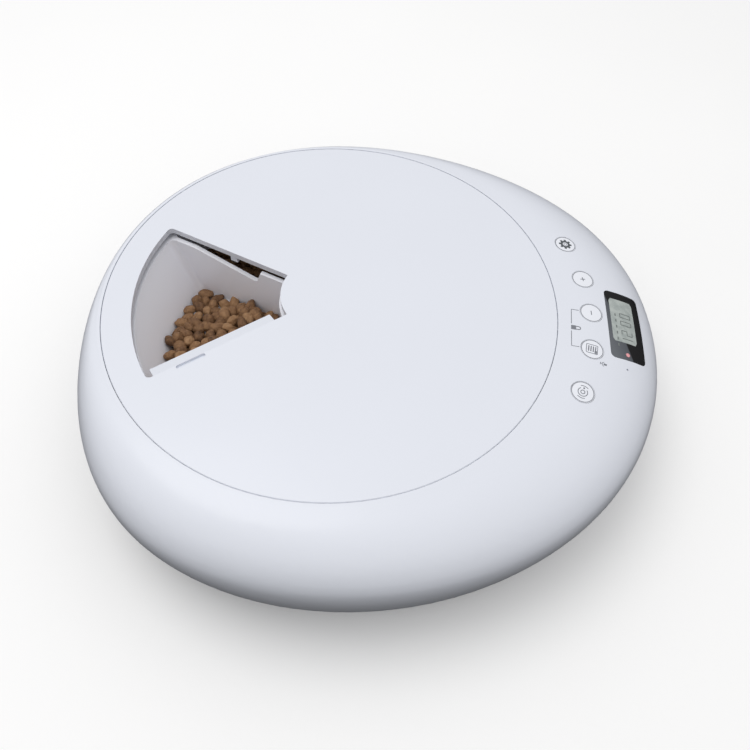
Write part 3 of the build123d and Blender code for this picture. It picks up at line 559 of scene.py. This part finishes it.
# ---- dry food -----------------------------------------------------------------------------
COMPARTMENTS = 6
TRAY_PHASE_DEG = 150.4        # direction of one divider
TRAY_RIM_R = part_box("food_tray")[1].x / MM
TRAY_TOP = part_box("food_tray")[1].z / MM
POCKET_DEPTH = 44.0
TRAY_FLOOR = TRAY_TOP - POCKET_DEPTH
WALL_INSET = 11.0             # pocket wall inside the rim, at the top
WALL_DRAFT = 17.0             # further in at the pocket's floor
FOOD_INNER_R, FOOD_OUTER_R = 37.0, 114.0
NUGGET_GAP = 5.6
NUGGET_R = 3.9
WALL_GAP = 2.7
WALL_ROOM = 3.0               # from the middle of a piece to the outer wall
LAYERS = 3
LAYER_DROP = 5.0
LAYER_JITTER = 1.2
LOWEST_MIDDLE = 2.6           # above the pocket's floor
RESTING_MIDDLE = 2.9
TRIES = 900
HEAP_BASE, HEAP_RISE, HEAP_POWER = 37.5, 25.0, 0.8
HUB_HEAP, HUB_HEAP_R, HUB_HEAP_SPREAD = 9.0, 60.0, 16.0
LEAN = 0.9                    # largest tilt of a piece, in radians


def food_height(radius, share):
    """Top of the heaped food, in millimetres; share runs from the first divider to the next."""
    heap_at_hub = HUB_HEAP * math.exp(-(((radius - HUB_HEAP_R) / HUB_HEAP_SPREAD) ** 2)) * (1 - share)
    return HEAP_BASE + HEAP_RISE * share**HEAP_POWER + heap_at_hub


def unit_sphere():
    """Points and faces of a ball of radius 1, from a subdivided icosahedron."""
    mesh = bmesh.new()
    bmesh.ops.create_icosphere(mesh, subdivisions=3, radius=1.0)
    mesh.verts.ensure_lookup_table()
    points = [vertex.co.copy() for vertex in mesh.verts]
    faces = [[vertex.index for vertex in face.verts] for face in mesh.faces]
    mesh.free()
    return points, faces


def nugget(ball, centre, rng):
    """Points of one rough pillow-shaped piece of food."""
    shape = (rng.uniform(1.0, 1.45), rng.uniform(0.85, 1.1), rng.uniform(0.68, 0.9))
    sizes = Vector(shape) * NUGGET_R * MM
    turn = Matrix.Rotation(rng.uniform(0, 2 * math.pi), 3, "Z")
    for axis in "XY":
        turn = turn @ Matrix.Rotation(rng.uniform(-LEAN, LEAN), 3, axis)
    seed = Vector((rng.uniform(0, 50), rng.uniform(0, 50), rng.uniform(0, 50)))
    points = []
    for point in ball:
        rough = 1.0 + 0.22 * noise.noise(point * 1.3 + seed) + 0.10 * noise.noise(point * 4.0 + seed)
        points.append(centre + turn @ (point * sizes) * rough)
    return points


def nugget_places(tree, index, rng):
    """Middles of the pieces of food in one compartment, top layer first."""
    start_deg = TRAY_PHASE_DEG + 360 / COMPARTMENTS * index
    placed = []
    for layer in range(LAYERS):
        for _ in range(TRIES):
            radius = math.sqrt(rng.uniform(FOOD_INNER_R**2, FOOD_OUTER_R**2))
            share = rng.uniform(0.01, 0.99)
            angle = math.radians(start_deg + 360 / COMPARTMENTS * share)
            jitter = rng.uniform(-LAYER_JITTER, LAYER_JITTER)
            z = food_height(radius, share) - NUGGET_R - layer * LAYER_DROP + jitter
            if z < TRAY_FLOOR + LOWEST_MIDDLE:
                if layer:
                    continue
                z = TRAY_FLOOR + RESTING_MIDDLE
            if radius > wall_radius(z) - WALL_ROOM:
                continue
            centre = Vector((radius * math.cos(angle), radius * math.sin(angle), z)) * MM
            if any((centre - other).length < NUGGET_GAP * MM for other in placed):
                continue
            if tree.find_nearest(centre)[3] > WALL_GAP * MM:
                placed.append(centre)
    return placed


def wall_radius(z):
    """Radius of the pockets' sloped outer wall at a height."""
    return TRAY_RIM_R - WALL_INSET - WALL_DRAFT * (TRAY_TOP - z) / POCKET_DEPTH


FOOD_SEED = 17
SHADE_LOW, SHADE_HIGH = 0.05, 0.4


def add_food():
    """Loose pieces in every compartment; they turn with the tray."""
    tree = surface_tree("food_tray")
    material = food_material()
    ball, ball_faces = unit_sphere()
    for index in range(COMPARTMENTS):
        rng = random.Random(FOOD_SEED + index)
        points, faces, shades = [], [], []
        for centre in nugget_places(tree, index, rng):
            base = len(points)
            points += nugget(ball, centre, rng)
            faces += [[base + k for k in face] for face in ball_faces]
            shades += [rng.uniform(SHADE_LOW, SHADE_HIGH)] * len(ball)
        name = f"dry_food_{index + 1}"
        data = bpy.data.meshes.new(name)
        data.from_pydata(points, [], faces)
        data.attributes.new("nugget_shade", "FLOAT", "POINT").data.foreach_set("value", shades)
        data.materials.append(material)
        data.shade_smooth()
        piece = bpy.data.objects.new(name, data)
        bpy.context.scene.collection.objects.link(piece)
        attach(piece, "turntable")


add_key_prints()
add_lock_bracket()
add_display()
add_microphone_mark()
add_food()


# ---- studio -------------------------------------------------------------------------------
FLOOR_SIZE = 14.0
FLOOR_WHITE = (0.985, 0.985, 0.985)
SKY_BELOW, SKY_ABOVE = 0.05, 1.2
HORIZON, HIGH_SKY = 0.0, 1.0    # sines of the elevations between which the sky brightens
LIGHT_PLACE = (-0.35, 0.15, 1.3)
LIGHT_AIM = (-0.05, 0, 0.05)
LIGHT_SIZE = 0.8
LIGHT_WATTS = 3.6
LIGHT_COLOUR = (1.0, 0.99, 0.98)


def add_floor():
    made, tree, shader = new_material("studio_floor")
    slow = noise_node(tree, 3.0)
    stops = [(0.3, FLOOR_WHITE), (0.7, (1.0, 1.0, 1.0))]
    tree.links.new(ramp(tree, slow, stops), shader.inputs["Base Color"])
    shader.inputs["Roughness"].default_value = 0.9
    shader.inputs["Specular IOR Level"].default_value = 0.0
    bpy.ops.mesh.primitive_plane_add(size=FLOOR_SIZE, location=(0, 0, 0))
    floor = bpy.context.object
    floor.name = "studio_floor"
    floor.data.materials.append(made)
    floor.visible_diffuse = False
    floor.visible_glossy = False


def area_light(name, place, aim, size, power, colour):
    data = bpy.data.lights.new(name, "AREA")
    data.shape = "DISK"
    data.size = size
    data.energy = power
    data.color = colour
    light = bpy.data.objects.new(name, data)
    light.location = place
    light.rotation_euler = (Vector(aim) - Vector(place)).to_track_quat("-Z", "Y").to_euler()
    bpy.context.scene.collection.objects.link(light)


def add_sky():
    """White light that is strongest overhead and fades to almost none at the horizon."""
    world = bpy.data.worlds.new("studio")
    world.use_nodes = True
    tree = world.node_tree
    background = tree.nodes["Background"]
    place = tree.nodes.new("ShaderNodeTexCoord")
    split = tree.nodes.new("ShaderNodeSeparateXYZ")
    tree.links.new(place.outputs["Generated"], split.inputs["Vector"])
    height = tree.nodes.new("ShaderNodeMapRange")
    height.inputs["From Min"].default_value = HORIZON
    height.inputs["From Max"].default_value = HIGH_SKY
    height.inputs["To Min"].default_value = SKY_BELOW
    height.inputs["To Max"].default_value = SKY_ABOVE
    tree.links.new(split.outputs["Z"], height.inputs["Value"])
    tree.links.new(height.outputs["Result"], background.inputs["Strength"])
    background.inputs["Color"].default_value = (1.0, 1.0, 1.0, 1.0)
    bpy.context.scene.world = world


def add_studio():
    add_floor()
    add_sky()
    area_light("overhead", LIGHT_PLACE, LIGHT_AIM, LIGHT_SIZE, LIGHT_WATTS, LIGHT_COLOUR)


# ---- camera -------------------------------------------------------------------------------
CAMERA_DISTANCE = 0.42040     # from the middle of the lid's top
CAMERA_ELEVATION = 49.125
CAMERA_YAW = -3.379
CAMERA_PITCH = -6.983
CAMERA_ROLL = 1.647
FOCAL_SHARE = 0.90348         # focal length over the picture's width
SENSOR = 36.0


def add_camera():
    elevation = math.radians(CAMERA_ELEVATION)
    forward = Vector((0, math.cos(elevation), -math.sin(elevation)))
    right = Vector((1, 0, 0))
    place = Vector((0, 0, LID_TOP)) - forward * CAMERA_DISTANCE
    above = right.cross(forward)
    forward, right = turned(forward, above, CAMERA_YAW), turned(right, above, CAMERA_YAW)
    forward, above = turned(forward, right, CAMERA_PITCH), turned(above, right, CAMERA_PITCH)
    right, above = turned(right, forward, CAMERA_ROLL), turned(above, forward, CAMERA_ROLL)
    data = bpy.data.cameras.new("camera")
    data.sensor_width = SENSOR
    data.lens = SENSOR * FOCAL_SHARE
    data.clip_start = 0.01
    camera = bpy.data.objects.new("camera", data)
    axes = Matrix((right, above, -forward)).transposed()
    camera.matrix_world = Matrix.Translation(place) @ axes.to_4x4()
    bpy.context.scene.collection.objects.link(camera)
    bpy.context.scene.camera = camera


add_studio()
add_camera()
bpy.context.scene.view_settings.view_transform = "Standard"
